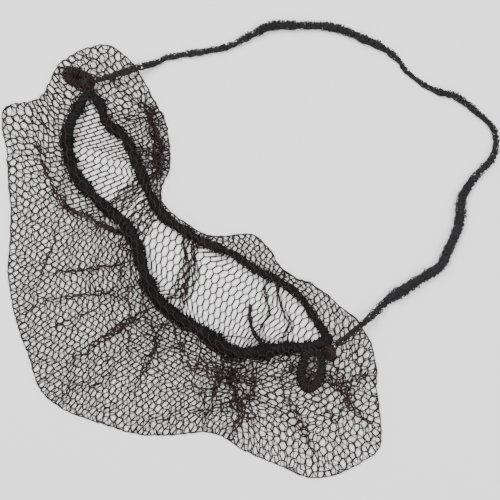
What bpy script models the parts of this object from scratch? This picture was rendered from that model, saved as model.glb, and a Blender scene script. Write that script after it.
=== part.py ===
"""A disposable beard net as it lies flat: a net pouch gathered on an elastic mouth band, with a head loop
tied to both ends of the mouth. The plan's +Y points away from the viewer, and z = 0 is the surface below."""

import math
from collections import namedtuple

import bmesh
import bpy
from mathutils import Vector

# Driving sizes, in metres
MOUTH_LENGTH = 0.1934  # between the ends of the mouth
MOUTH_BOW = 0.051  # how far the band bows out to the chin side
NET_REACH = 0.104  # the farthest that the pouch lies out past the band
CLOTH = 0.001  # the pouch's wall
FOLD_RADIUS = 0.0014  # half the height between the two layers at the outline
FOLD_HEIGHT = 0.0065  # the tallest fold of the upper layer
GATHER_HEIGHT = 0.0012  # the small gathers along the band
CROSS_FOLD_HEIGHT = 0.0026  # the folds that cross the bed of the mouth
BAND_THICKNESS = 0.0052
KNOT_LENGTH = 0.0084
KNOT_WIDTH = 0.0072
KNOT_HEIGHT = 0.0066
TAIL_CORD = 0.0024
CLEARANCE = 0.0003
BAND_ROOM = 0.0007  # from the band to the pouch's upper edge along it
LEAST_FLOUNCE = 0.0045  # the least width of the upper layer
KNOT_ROOM = 0.0018  # from a knot to the pouch's upper edge round it

MOUTH_TURN = math.radians(-47.3)  # the mouth's long axis in the plan
RAY_COUNT = 120  # the pouch's sections round the mouth, half of them on each side
GATHER_COUNT = 30
GAP_PERIOD = 6  # rays from one gap of a band to the next
GAP_SPANS = 2  # spans between rays that a gap takes
GAP_POINT = 0.28  # how far a gap's middle corners stand out, as a share of its band
NARROW = 0.019  # a flounce narrower than this has no gaps
FAN_RAYS = 3  # rays at each end of the mouth that meet in one point of its middle line
STEEPEST = 0.4  # the least sine of a ray's angle to the band
CALM = 0.04  # no folds within this share of the way round from a knot, and full ones past twice that
LOOP_POINTS = 80
TAIL_POINTS = 16

BED_Z = CLOTH / 2
OVER_Z = BED_Z + 2 * FOLD_RADIUS
BAND_Z = CLOTH + CLEARANCE + BAND_THICKNESS / 2
KNOT_Z = CLOTH + CLEARANCE + KNOT_HEIGHT / 2
TAIL_Z = max(OVER_Z, BAND_Z) + CLOTH / 2 + CLEARANCE + TAIL_CORD / 2

# One row for each section of the pouch. along and across place the band's middle, as shares of
# MOUTH_LENGTH and MOUTH_BOW. heading, in degrees, and reach, a share of NET_REACH, lead from there to
# the outline. band is the band's thickness there, as a share of BAND_THICKNESS.
Section = namedtuple("Section", "along across heading reach band")
CHIN_SIDE = (
    Section(-0.486, 0.03, 89, 0.262, 0.78),
    Section(-0.490, 0.10, 128, 0.198, 0.82),
    Section(-0.479, 0.21, 167, 0.215, 0.90),
    Section(-0.468, 0.35, 173, 0.368, 0.96),
    Section(-0.433, 0.55, 198, 0.358, 1.00),
    Section(-0.359, 0.72, 225, 0.488, 1.00),
    Section(-0.306, 0.75, 233, 0.663, 0.96),
    Section(-0.250, 0.75, 236, 0.777, 0.92),
    Section(-0.189, 0.73, 241, 0.902, 0.90),
    Section(-0.138, 0.70, 246, 0.998, 0.90),
    Section(-0.078, 0.76, 257, 0.966, 0.94),
    Section(-0.011, 0.90, 271, 0.888, 1.00),
    Section(0.068, 1.00, 285, 0.771, 1.00),
    Section(0.152, 0.98, 289, 0.678, 0.98),
    Section(0.233, 0.89, 291, 0.687, 0.96),
    Section(0.330, 0.81, 293, 0.675, 0.94),
    Section(0.384, 0.62, 292, 0.746, 0.90),
    Section(0.425, 0.38, 297, 0.761, 0.86),
    Section(0.471, 0.17, 304, 0.699, 0.82),
)
LIP_SIDE = (
    Section(0.498, -0.04, 307, 0.531, 0.76),
    Section(0.474, -0.09, 321, 0.383, 0.72),
    Section(0.437, -0.11, 344, 0.287, 0.70),
    Section(0.363, -0.16, 351, 0.180, 0.70),
    Section(0.290, -0.12, 363, 0.103, 0.68),
    Section(0.211, -0.01, 383, 0.135, 0.66),
    Section(0.132, 0.07, 402, 0.153, 0.66),
    Section(0.056, 0.20, 389, 0.105, 0.66),
    Section(-0.018, 0.29, 412, 0.080, 0.70),
    Section(-0.094, 0.34, 394, 0.076, 0.74),
    Section(-0.167, 0.28, 372, 0.105, 0.76),
    Section(-0.251, 0.16, 372, 0.201, 0.76),
    Section(-0.325, 0.07, 390, 0.248, 0.76),
    Section(-0.392, 0.11, 397, 0.304, 0.78),
    Section(-0.432, 0.04, 408, 0.289, 0.78),
    Section(-0.463, 0.01, 429, 0.283, 0.78),
)
SECTIONS = CHIN_SIDE + LIP_SIDE

# The upper layer's main folds run out from the band. around and half_width are shares of the way round
# the mouth, from its left end down the chin side. height is a share of FOLD_HEIGHT, and lean tips the
# fold over sideways, as a share of its height. near and far say where it is tallest and where it ends,
# from 0 at the band to 1 at the outline.
Fold = namedtuple("Fold", "around half_width height lean near far")
FOLDS = (
    Fold(0.058, 0.0133, 0.40, 0.5, 0.30, 0.85),
    Fold(0.092, 0.0117, 0.65, -0.6, 0.20, 0.95),
    Fold(0.125, 0.0133, 0.80, 0.6, 0.15, 0.90),
    Fold(0.158, 0.0108, 0.60, 0.4, 0.20, 0.75),
    Fold(0.183, 0.0125, 1.00, -0.7, 0.10, 0.95),
    Fold(0.217, 0.0117, 0.80, 0.6, 0.15, 0.80),
    Fold(0.250, 0.0133, 1.00, 0.7, 0.10, 0.90),
    Fold(0.283, 0.0108, 0.70, -0.5, 0.20, 0.85),
    Fold(0.317, 0.0125, 0.90, 0.6, 0.10, 0.95),
    Fold(0.350, 0.0117, 0.60, -0.6, 0.25, 0.80),
    Fold(0.383, 0.0133, 0.85, 0.5, 0.20, 1.00),
    Fold(0.417, 0.0117, 0.70, 0.6, 0.20, 0.90),
    Fold(0.600, 0.0108, 0.45, 0.4, 0.20, 0.90),
    Fold(0.642, 0.0100, 0.40, -0.4, 0.20, 0.90),
    Fold(0.792, 0.0108, 0.50, 0.4, 0.20, 0.90),
    Fold(0.833, 0.0117, 0.65, -0.5, 0.20, 0.90),
    Fold(0.875, 0.0117, 0.55, 0.5, 0.20, 0.90),
)

# Two folds of the lower layer lie across the mouth, each leaving the chin side at around.
CrossFold = namedtuple("CrossFold", "around half_width height")
CROSS_FOLDS = (
    CrossFold(0.196, 0.0125, 0.80),
    CrossFold(0.275, 0.0140, 1.00),
)

# The pouch's rings, from the mouth's middle line out below the band to the outline and back on top.
# share runs over its part: bed from the middle line to below the band, under from there to the fold,
# over from the fold to the band. gaps says whether the band of faces after the ring is cut through.
Ring = namedtuple("Ring", "part share gaps")
RINGS = (
    Ring("bed", 0.0, False),
    Ring("bed", 0.40, True),
    Ring("under", 0.05, True),
    Ring("under", 0.34, True),
    Ring("under", 0.64, True),
    Ring("under", 0.90, False),
    Ring("under", 1.0, False),
    Ring("fold", 0.0, False),
    Ring("over", 0.0, False),
    Ring("over", 0.10, True),
    Ring("over", 0.32, True),
    Ring("over", 0.53, True),
    Ring("over", 0.72, True),
    Ring("over", 0.88, False),
    Ring("over", 1.0, False),
)

# The knots at the ends of the mouth. heading and tail_heading, in degrees, lead from the band to the
# knot and from the knot into its tail loop, whose length and width are shares of KNOT_LENGTH.
Knot = namedtuple("Knot", "name section heading tail_heading tail_length tail_width")
KNOTS = (
    Knot("left", 0, 100, 156, 1.50, 1.20),
    Knot("right", len(CHIN_SIDE), -75, -120, 2.35, 1.60),
)

# The head loop's route, chosen point by point, in millimetres. thick is the cord's thickness there.
Stop = namedtuple("Stop", "x y z thick")
HEAD_LOOP_ROUTE = (
    Stop(-54.6, 101.6, 5.8, 2.8),
    Stop(-49.6, 102.8, 6.8, 3.1),
    Stop(-44.0, 104.2, 7.0, 3.2),
    Stop(-38.4, 106.1, 6.8, 3.1),
    Stop(-32.8, 108.1, 6.3, 3.1),
    Stop(-28.3, 109.5, 4.9, 3.1),
    Stop(-23.8, 110.9, 2.8, 3.1),
    Stop(-18.8, 112.8, 1.6, 3.1),
    Stop(-14.8, 114.8, 1.6, 3.1),
    Stop(-1.4, 117.3, 1.6, 3.2),
    Stop(12.0, 119.3, 1.7, 3.3),
    Stop(21.0, 121.8, 1.8, 3.5),
    Stop(31.6, 127.1, 2.2, 4.3),
    Stop(37.2, 129.9, 2.5, 5.0),
    Stop(43.4, 132.4, 2.7, 5.3),
    Stop(58.5, 132.7, 2.7, 5.3),
    Stop(74.2, 132.2, 2.3, 4.5),
    Stop(85.4, 129.4, 2.2, 4.3),
    Stop(94.4, 125.4, 2.3, 4.5),
    Stop(103.3, 121.5, 2.2, 4.3),
    Stop(109.5, 117.9, 1.8, 3.5),
    Stop(114.5, 113.4, 1.4, 2.7),
    Stop(120.1, 106.4, 1.3, 2.6),
    Stop(128.0, 100.2, 1.5, 3.0),
    Stop(136.9, 95.8, 1.8, 3.5),
    Stop(145.9, 93.5, 1.9, 3.8),
    Stop(152.0, 89.6, 2.0, 3.9),
    Stop(159.3, 83.4, 1.9, 3.8),
    Stop(165.5, 77.8, 1.9, 3.8),
    Stop(168.8, 71.4, 2.0, 3.9),
    Stop(167.7, 59.9, 1.9, 3.8),
    Stop(158.2, 49.0, 2.0, 3.9),
    Stop(150.4, 37.5, 2.4, 4.8),
    Stop(149.2, 28.6, 2.6, 5.2),
    Stop(147.6, 19.6, 2.6, 5.2),
    Stop(142.5, 7.8, 2.6, 5.2),
    Stop(138.0, -1.7, 2.5, 5.0),
    Stop(129.6, -7.3, 2.4, 4.8),
    Stop(113.9, -17.1, 2.4, 4.7),
    Stop(108.4, -20.7, 2.2, 4.3),
    Stop(102.2, -26.9, 3.4, 4.0),
    Stop(97.7, -30.8, 5.6, 3.6),
    Stop(93.2, -34.7, 6.8, 3.2),
    Stop(87.6, -39.2, 7.0, 2.9),
    Stop(82.6, -43.1, 6.7, 2.7),
    Stop(79.2, -45.7, 5.9, 2.6),
)
MILLIMETRE = 0.001


def clear_scene():
    for old in list(bpy.data.objects):
        bpy.data.objects.remove(old, do_unlink=True)


def make_collection(name):
    collection = bpy.data.collections.new(name)
    bpy.context.scene.collection.children.link(collection)
    return collection


def make_material(name, colour, roughness):
    material = bpy.data.materials.new(name)
    material.use_nodes = True
    surface = material.node_tree.nodes["Principled BSDF"]
    surface.inputs["Base Color"].default_value = (*colour, 1)
    surface.inputs["Roughness"].default_value = roughness
    surface.inputs["Metallic"].default_value = 0
    return material


def direction(degrees):
    return Vector((math.cos(math.radians(degrees)), math.sin(math.radians(degrees))))


def smooth_row(rows, place, closed):
    """The row at a place between the rows, read from a smooth curve through them."""
    first = math.floor(place) if closed else min(math.floor(place), len(rows) - 2)
    t = place - first
    if closed:
        near = [rows[(first + k) % len(rows)] for k in (-1, 0, 1, 2)]
    else:
        near = [rows[min(max(first + k, 0), len(rows) - 1)] for k in (-1, 0, 1, 2)]
    return [
        b + t * ((c - a) + t * ((2 * a - 5 * b + 4 * c - d) + t * (3 * b - a - 3 * c + d))) / 2
        for a, b, c, d in zip(*near)
    ]


def even_places(rows, first, last, count, columns, closed, steps=24):
    """Places from one row to another that lie an even distance apart, as read from some columns."""
    fine = [first + (last - first) * k / (steps * len(rows)) for k in range(steps * len(rows) + 1)]
    points = [smooth_row(rows, place, closed) for place in fine]
    along = [0.0]
    for a, b in zip(points, points[1:]):
        steps_of = (math.dist([a[c] for c in group], [b[c] for c in group]) for group in columns)
        along.append(along[-1] + sum(steps_of))
    places, k = [], 0
    for i in range(count):
        wanted = along[-1] * i / count
        while along[k + 1] < wanted:
            k += 1
        t = (wanted - along[k]) / max(along[k + 1] - along[k], 1e-12)
        places.append(fine[k] + (fine[k + 1] - fine[k]) * t)
    return places


def section_rows():
    """Each section as the band's middle, the outline and the band's radius, centred on the outline."""
    long_axis = direction(math.degrees(MOUTH_TURN))
    chin_axis = Vector((long_axis.y, -long_axis.x))
    rows = []
    for s in SECTIONS:
        rim = long_axis * s.along * MOUTH_LENGTH + chin_axis * s.across * MOUTH_BOW
        edge = rim + direction(s.heading) * s.reach * NET_REACH
        rows.append([*rim, *edge, s.band * BAND_THICKNESS / 2])
    places = side_places(rows)
    edges = [smooth_row(rows, place, True)[2:4] for place in places]
    middle = [(min(e[k] for e in edges) + max(e[k] for e in edges)) / 2 for k in (0, 1)]
    return [[r[0] - middle[0], r[1] - middle[1], r[2] - middle[0], r[3] - middle[1], r[4]] for r in rows]


def side_places(rows):
    """RAY_COUNT places round the mouth, the first at its left end and the middle one at its right end."""
    half, turn = RAY_COUNT // 2, len(CHIN_SIDE)
    both = ((0, 1), (2, 3))
    return even_places(rows, 0, turn, half, both, True) + even_places(rows, turn, len(rows), half, both, True)


Ray = namedtuple("Ray", "rim edge out rim_side edge_side band start spine width calm")


def knot_centre(knot, rows):
    row = rows[knot.section]
    away = row[4] + CLEARANCE + KNOT_LENGTH / 2
    return Vector(row[:2]) + direction(knot.heading) * away


def tangent(points, i):
    """The way that a closed line of points runs at one of them."""
    return (points[(i + 1) % len(points)] - points[i - 1]).normalized()


def make_rays(rows):
    """The pouch's rays, each from the mouth's middle line over the band to the outline."""
    sampled = [smooth_row(rows, place, True) for place in side_places(rows)]
    rims = [Vector(r[:2]) for r in sampled]
    edges = [Vector(r[2:4]) for r in sampled]
    knots = [knot_centre(knot, rows) for knot in KNOTS]
    half = RAY_COUNT // 2
    rays = []
    for i, rim in enumerate(rims):
        out = (edges[i] - rim).normalized()
        band = sampled[i][4]
        slant = max(STEEPEST, abs(out.cross(tangent(rims, i))))
        start = (band + BAND_ROOM) / slant
        for centre in knots:
            start = max(start, circle_exit(rim, out, centre, KNOT_LENGTH / 2 + KNOT_ROOM))
        width = max((edges[i] - rim).length, start + LEAST_FLOUNCE)
        edge = rim + out * width
        inner = min(max(min(i, RAY_COUNT - i), FAN_RAYS), half - FAN_RAYS)
        spine = (rims[inner] + rims[RAY_COUNT - inner]) / 2
        from_knot = min(i, RAY_COUNT - i, abs(i - half)) / RAY_COUNT
        calm = min(1, max(0, from_knot / CALM - 1))
        rays.append(Ray(rim, edge, out, tangent(rims, i), tangent(edges, i), band, start, spine, width, calm))
    return rays


def circle_exit(start, heading, centre, radius):
    """How far along a heading a line leaves a circle, or 0 if it misses it."""
    to_centre = centre - start
    ahead = to_centre.dot(heading)
    inside = radius**2 - to_centre.length_squared + ahead**2
    return ahead + math.sqrt(inside) if inside > 0 else 0


def over_height(i, ray, share):
    """How far the folds and gathers lift the upper layer, and how far the folds tip it sideways."""
    from_band = 1 - share
    room = min(1, ray.width / (4 * NARROW)) * ray.calm
    lift, tip = 0, 0
    for fold in FOLDS:
        across = bell(i / RAY_COUNT, fold)
        rise = min(1, 0.5 + from_band / (2 * fold.near))
        fall = max(0, min(1, (fold.far - from_band) / (fold.far - fold.near)))
        bump = FOLD_HEIGHT * fold.height * across * rise * fall * room
        lift += bump
        tip += bump * fold.lean * (1 - share**3)
    gather = math.cos(2 * math.pi * GATHER_COUNT * i / RAY_COUNT)
    return lift + GATHER_HEIGHT * (0.6 + gather) * share**2 * ray.calm, tip


def bell(around, fold):
    """A fold's height at a share of the way round, from 0 far from it to 1 on it."""
    return math.exp(-(((around - fold.around) / fold.half_width) ** 2))


def bed_height(i, share):
    """How far the cross folds lift the lower layer in the mouth."""
    around = min(i, RAY_COUNT - i) / RAY_COUNT
    lift = sum(fold.height * bell(around, fold) for fold in CROSS_FOLDS)
    return CROSS_FOLD_HEIGHT * min(1, lift) * (1 - share)


def pouch_point(i, ray, part, share):
    """A point of the pouch's middle surface."""
    if part == "bed":
        place = ray.spine.lerp(ray.rim, share)
        return place.to_3d() + Vector((0, 0, BED_Z + bed_height(i, share)))
    last = ray.edge - ray.out * FOLD_RADIUS
    if part == "under":
        return ray.rim.lerp(last, share).to_3d() + Vector((0, 0, BED_Z))
    if part == "fold":
        return ray.edge.to_3d() + Vector((0, 0, BED_Z + FOLD_RADIUS))
    lift, tip = over_height(i, ray, share)
    side = ray.edge_side.lerp(ray.rim_side, share).normalized()
    place = last.lerp(ray.rim + ray.out * ray.start, share) + side * tip
    return place.to_3d() + Vector((0, 0, OVER_Z + (BAND_Z - OVER_Z) * share + lift))


def gap_column(i, ring):
    """Where ray i lies in the ring's repeat of gaps: 0 and 1 are a gap's own spans, 2 is its far side."""
    offset = GAP_PERIOD // 2 if ring % 2 else 0
    return (i + offset) % GAP_PERIOD


def is_gap(i, ring, rays):
    if not RINGS[ring].gaps or gap_column(i, ring) >= GAP_SPANS:
        return False
    first = i - gap_column(i, ring)
    across = [rays[(first + k) % RAY_COUNT] for k in range(GAP_SPANS + 1)]
    return RINGS[ring].part == "bed" or all(ray.width > NARROW for ray in across)


def ring_share(i, ring, rays):
    """A ring's share at a ray, moved where the ray meets the middle corner of a six-sided gap."""
    here = RINGS[ring]
    share = here.share
    for band, outer in ((ring, True), (ring - 1, False)):
        if 0 <= band < len(RINGS) - 1 and is_gap(i, band, rays) and gap_column(i, band) == 1:
            far = RINGS[band + 1]
            span = far.share - RINGS[band].share if far.part == RINGS[band].part else 0.3
            share += GAP_POINT * span * (-1 if outer else 1) / 2
    return share


def make_pouch(rays, collection, material):
    """The net bag: a loft of rings with six-sided gaps left open, thickened to a wall."""
    bm = bmesh.new()
    rings = []
    for r, ring in enumerate(RINGS):
        points = [pouch_point(i, ray, ring.part, ring_share(i, r, rays)) for i, ray in enumerate(rays)]
        rings.append([bm.verts.new(p) for p in points])
    for r in range(len(RINGS) - 1):
        for i in range(RAY_COUNT):
            if is_gap(i, r, rays):
                continue
            j = (i + 1) % RAY_COUNT
            bm.faces.new((rings[r][i], rings[r + 1][i], rings[r + 1][j], rings[r][j]))
    bmesh.ops.remove_doubles(bm, verts=bm.verts, dist=1e-6)
    bmesh.ops.recalc_face_normals(bm, faces=bm.faces)
    mesh = bpy.data.meshes.new("net_pouch")
    bm.to_mesh(mesh)
    bm.free()
    mesh.materials.append(material)
    pouch = bpy.data.objects.new("net_pouch", mesh)
    collection.objects.link(pouch)
    wall = pouch.modifiers.new("wall", "SOLIDIFY")
    wall.thickness = CLOTH
    wall.offset = 0
    wall.use_even_offset = True
    wall.use_quality_normals = True
    mesh.shade_smooth()
    return pouch


def make_tube(name, points, radii, closed, collection, material):
    """A round cord along a list of points, with its own radius at each."""
    curve = bpy.data.curves.new(name, "CURVE")
    curve.dimensions = "3D"
    curve.bevel_depth = max(radii)
    curve.bevel_resolution = 2
    curve.use_fill_caps = True
    spline = curve.splines.new("POLY")
    spline.points.add(len(points) - 1)
    for knot, place, radius in zip(spline.points, points, radii):
        knot.co = (*place, 1)
        knot.radius = radius / curve.bevel_depth
    spline.use_cyclic_u = closed
    curve.materials.append(material)
    tube = bpy.data.objects.new(name, curve)
    collection.objects.link(tube)
    return tube


def make_band(rays, collection, material):
    points = [Vector((*ray.rim, BAND_Z)) for ray in rays]
    return make_tube("rim_elastic", points, [ray.band for ray in rays], True, collection, material)


def make_knot(knot, centre, collection, material):
    """A knot as a squashed ball, and the closed loop of its tail lying on the net."""
    bm = bmesh.new()
    bmesh.ops.create_uvsphere(bm, u_segments=14, v_segments=8, radius=0.5)
    bmesh.ops.scale(bm, vec=(KNOT_LENGTH, KNOT_WIDTH, KNOT_HEIGHT), verts=bm.verts)
    mesh = bpy.data.meshes.new("knot_" + knot.name)
    bm.to_mesh(mesh)
    bm.free()
    mesh.materials.append(material)
    mesh.shade_smooth()
    lump = bpy.data.objects.new("knot_" + knot.name, mesh)
    lump.location = (*centre, KNOT_Z)
    lump.rotation_euler.z = math.radians(knot.heading)
    collection.objects.link(lump)
    half_length = knot.tail_length * KNOT_LENGTH / 2
    half_width = knot.tail_width * KNOT_LENGTH / 2
    ahead = direction(knot.tail_heading)
    side = Vector((-ahead.y, ahead.x))
    middle = centre + ahead * (KNOT_LENGTH / 2 + CLEARANCE + TAIL_CORD / 2 + half_length)
    points = []
    for k in range(TAIL_POINTS):
        turn = 2 * math.pi * k / TAIL_POINTS
        flat = middle + ahead * half_length * math.cos(turn) + side * half_width * math.sin(turn)
        points.append(Vector((*flat, TAIL_Z)))
    radii = [TAIL_CORD / 2] * TAIL_POINTS
    make_tube("tail_loop_" + knot.name, points, radii, True, collection, material)


def make_head_loop(collection, material):
    """The elastic cord from knot to knot, on the surface but where it passes over the net."""
    last = len(HEAD_LOOP_ROUTE) - 1
    places = even_places(HEAD_LOOP_ROUTE, 0, last, LOOP_POINTS - 1, ((0, 1, 2),), False) + [last]
    sampled = [smooth_row(HEAD_LOOP_ROUTE, place, False) for place in places]
    points = [Vector(r[:3]) * MILLIMETRE for r in sampled]
    radii = [r[3] * MILLIMETRE / 2 for r in sampled]
    for point, radius in zip(points, radii):
        point.z = max(point.z, radius)
    return make_tube("head_loop", points, radii, False, collection, material)


def main():
    clear_scene()
    collection = make_collection("beard_net")
    nylon = make_material("brown_nylon", (0.055, 0.030, 0.027), 0.55)
    elastic = make_material("charcoal_elastic", (0.028, 0.028, 0.032), 0.8)
    rows = section_rows()
    rays = make_rays(rows)
    make_pouch(rays, collection, nylon)
    make_band(rays, collection, elastic)
    for knot in KNOTS:
        make_knot(knot, knot_centre(knot, rows), collection, elastic)
    make_head_loop(collection, elastic)


main()
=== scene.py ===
# %% [markdown]
# # A disposable beard net, laid flat
# A beard net is a bag of knitted nylon mesh, gathered along its open edge on an elastic band, with a
# loop of the same elastic that goes round the head. Seen from above, the mouth shows a single layer
# of mesh, and the rest of the bag folds over its outline and comes back on top in gathers. The packed
# solids give the size and place of every piece. This script dresses them strand by strand.

import math
from collections import namedtuple

import bpy
import bmesh
import numpy as np
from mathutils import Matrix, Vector, kdtree


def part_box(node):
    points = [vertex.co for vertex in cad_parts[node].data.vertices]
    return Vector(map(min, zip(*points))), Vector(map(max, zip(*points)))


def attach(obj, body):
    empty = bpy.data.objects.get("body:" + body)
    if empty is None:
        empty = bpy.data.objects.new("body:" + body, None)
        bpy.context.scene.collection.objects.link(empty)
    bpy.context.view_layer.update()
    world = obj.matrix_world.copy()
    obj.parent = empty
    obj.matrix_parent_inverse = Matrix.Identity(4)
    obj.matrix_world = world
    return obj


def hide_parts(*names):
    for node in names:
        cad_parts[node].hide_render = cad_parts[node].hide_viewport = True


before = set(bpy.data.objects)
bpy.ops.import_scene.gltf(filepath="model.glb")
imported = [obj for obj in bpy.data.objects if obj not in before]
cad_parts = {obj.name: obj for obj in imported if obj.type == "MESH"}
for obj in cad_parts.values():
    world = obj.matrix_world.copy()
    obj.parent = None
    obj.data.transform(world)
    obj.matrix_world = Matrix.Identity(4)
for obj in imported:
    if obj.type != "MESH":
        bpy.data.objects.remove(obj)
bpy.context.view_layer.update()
MM = 0.001

# %% [markdown]
# ## The camera
# The photograph is a product picture taken straight from above, with no visible perspective. A long
# lens far away gives that look, and its distance follows from the width of table that it takes in.

# %% A camera that looks straight down
VIEW_WIDTH = 280 * MM
VIEW_MIDDLE = Vector((31.6, 7.3, 0)) * MM


def in_scene(name, data):
    """A new object, linked to the scene."""
    thing = bpy.data.objects.new(name, data)
    bpy.context.scene.collection.objects.link(thing)
    return thing


camera_data = bpy.data.cameras.new("camera")
camera_data.lens = 100
camera_data.sensor_width = 36
camera = in_scene("camera", camera_data)
camera.location = VIEW_MIDDLE + Vector((0, 0, VIEW_WIDTH * camera_data.lens / camera_data.sensor_width))
bpy.context.scene.camera = camera
print("camera height, mm:", round(camera.location.z / MM))

# %% [markdown]
# ## Lines to build on
# Every strand here follows a line: the head loop's route, the band round the mouth, the threads of
# the net. Chosen points make a smooth line when each stretch is a cubic that passes through its two
# ends and leaves them in the direction of their neighbours, a Catmull-Rom curve. Points an even
# distance apart then make an even tube.


# %% Smooth lines through chosen rows
def sizes(rows):
    """The length of each row's vector."""
    return np.linalg.norm(rows, axis=-1)


def summed(steps):
    """How far along each row is, from the steps between them."""
    return np.concatenate(([0], np.cumsum(steps)))


def between(rows, along, places):
    """Rows read at places in between, where along says how far along each row is."""
    return np.stack([np.interp(places, along, column) for column in rows.T], axis=1)


def smooth(rows, steps, closed=False):
    """Points on a smooth curve through rows of numbers, with so many steps from each row to the next."""
    rows = np.asarray(rows, float)
    spans = len(rows) if closed else len(rows) - 1
    place = np.arange(spans * steps + 1) / steps
    first = np.minimum(place.astype(int), spans - 1)
    t = (place - first)[:, None]

    def row(k):
        return rows[(first + k) % len(rows)] if closed else rows[np.clip(first + k, 0, len(rows) - 1)]

    a, b, c, d = (row(k) for k in (-1, 0, 1, 2))
    return b + t * ((c - a) + t * ((2 * a - 5 * b + 4 * c - d) + t * (3 * b - a - 3 * c + d))) / 2


def even(line, gap):
    """The same line with its rows an even distance apart in space. Its first three columns are x, y, z."""
    along = summed(sizes(np.diff(line[:, :3], axis=0)))
    return between(line, along, np.linspace(0, along[-1], max(2, round(along[-1] / gap)) + 1))


def length_of(line):
    return float(sizes(np.diff(line[:, :3], axis=0)).sum())


# %% [markdown]
# ## The head loop's route
# The loop is one elastic cord, tied to both ends of the mouth. It lies on the table in the loose curve
# that the photograph shows, and climbs over the net only at its ends. Its points are the part's own,
# in millimetres, with the cord's thickness at each: it is thin where it is drawn out and thick where
# its coils have bunched up.

# %% The route of the head loop
LOOP_ROWS = (
    (-54.6, 101.6, 5.8, 2.8), (-49.6, 102.8, 6.8, 3.1), (-44.0, 104.2, 7.0, 3.2), (-38.4, 106.1, 6.8, 3.1),
    (-32.8, 108.1, 6.3, 3.1), (-28.3, 109.5, 4.9, 3.1), (-23.8, 110.9, 2.8, 3.1), (-18.8, 112.8, 1.6, 3.1),
    (-14.8, 114.8, 1.6, 3.1), (-1.4, 117.3, 1.6, 3.2), (12.0, 119.3, 1.7, 3.3), (21.0, 121.8, 1.8, 3.5),
    (31.6, 127.1, 2.2, 4.3), (37.2, 129.9, 2.5, 5.0), (43.4, 132.4, 2.7, 5.3), (58.5, 132.7, 2.7, 5.3),
    (74.2, 132.2, 2.3, 4.5), (85.4, 129.4, 2.2, 4.3), (94.4, 125.4, 2.3, 4.5), (103.3, 121.5, 2.2, 4.3),
    (109.5, 117.9, 1.8, 3.5), (114.5, 113.4, 1.4, 2.7), (120.1, 106.4, 1.3, 2.6), (128.0, 100.2, 1.5, 3.0),
    (136.9, 95.8, 1.8, 3.5), (145.9, 93.5, 1.9, 3.8), (152.0, 89.6, 2.0, 3.9), (159.3, 83.4, 1.9, 3.8),
    (165.5, 77.8, 1.9, 3.8), (168.8, 71.4, 2.0, 3.9), (167.7, 59.9, 1.9, 3.8), (158.2, 49.0, 2.0, 3.9),
    (150.4, 37.5, 2.4, 4.8), (149.2, 28.6, 2.6, 5.2), (147.6, 19.6, 2.6, 5.2), (142.5, 7.8, 2.6, 5.2),
    (138.0, -1.7, 2.5, 5.0), (129.6, -7.3, 2.4, 4.8), (113.9, -17.1, 2.4, 4.7), (108.4, -20.7, 2.2, 4.3),
    (102.2, -26.9, 3.4, 4.0), (97.7, -30.8, 5.6, 3.6), (93.2, -34.7, 6.8, 3.2), (87.6, -39.2, 7.0, 2.9),
    (82.6, -43.1, 6.7, 2.7), (79.2, -45.7, 5.9, 2.6),
)
loop_line = even(smooth(LOOP_ROWS, 24) * MM, 0.5 * MM)
LOOP_LENGTH = length_of(loop_line)
print("head loop, mm:", round(LOOP_LENGTH / MM, 1), "long")

# %% [markdown]
# ## From lines to yarn
# A curve object with a round bevel turns a line into a tube, and the radius of each of its points
# swells or thins it. One curve can hold thousands of separate strands. It is made a mesh at the end, as
# the finished pieces all are.


# %% Strands as one mesh
def strands_piece(name, strands, sides, material, slot, *nodes):
    """One mesh of round tubes, which rides with the part in place of the solids that it stands for.

    Each strand is its points, its radii and whether it closes.
    """
    curve = bpy.data.curves.new(name, "CURVE")
    curve.dimensions = "3D"
    curve.bevel_depth = 1
    curve.bevel_resolution = sides // 2 - 2
    curve.use_fill_caps = True
    for points, radii, closed in strands:
        spline = curve.splines.new("POLY")
        spline.points.add(len(points) - 1)
        spline.points.foreach_set("co", np.column_stack((points, np.ones(len(points)))).ravel())
        spline.points.foreach_set("radius", np.broadcast_to(radii, len(points)).astype(float))
        spline.use_cyclic_u = closed
    form = in_scene(name + "_lines", curve)
    graph = bpy.context.evaluated_depsgraph_get()
    mesh = bpy.data.meshes.new_from_object(form.evaluated_get(graph))
    mesh.name = name
    bpy.data.objects.remove(form)
    bm = bmesh.new()
    bm.from_mesh(mesh)
    bmesh.ops.remove_doubles(bm, verts=bm.verts, dist=1e-7)
    bmesh.ops.recalc_face_normals(bm, faces=bm.faces)
    bm.to_mesh(mesh)
    bm.free()
    mesh.materials.clear()
    mesh.materials.append(material)
    mesh.shade_smooth()
    piece = in_scene(name, mesh)
    mesh.calc_loop_triangles()
    print(name, "has", len(strands), "strands and", len(mesh.loop_triangles), "triangles")
    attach(piece, "root")
    if nodes:
        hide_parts(*nodes)
    return piece


# %% [markdown]
# ## Yarn finishes
# The net's nylon is a dark brown thread with a slight gloss. The elastic is a duller charcoal yarn,
# fuzzy from its fibres. Both are patchy in colour and rough in fine streaks, so one node group makes
# the mottling from two noises on object coordinates, and each material sets its own colours. The
# band's elastic is the same yarn, coloured darker as painted shade of the net that lies over it.


# %% A group for mottled fibre
def wire(tree, rows):
    """Links sockets of a node tree. A row is a node, its output, the next node and its input."""
    for start, out, end, into in rows:
        tree.links.new(start.outputs[out], end.inputs[into])


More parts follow.
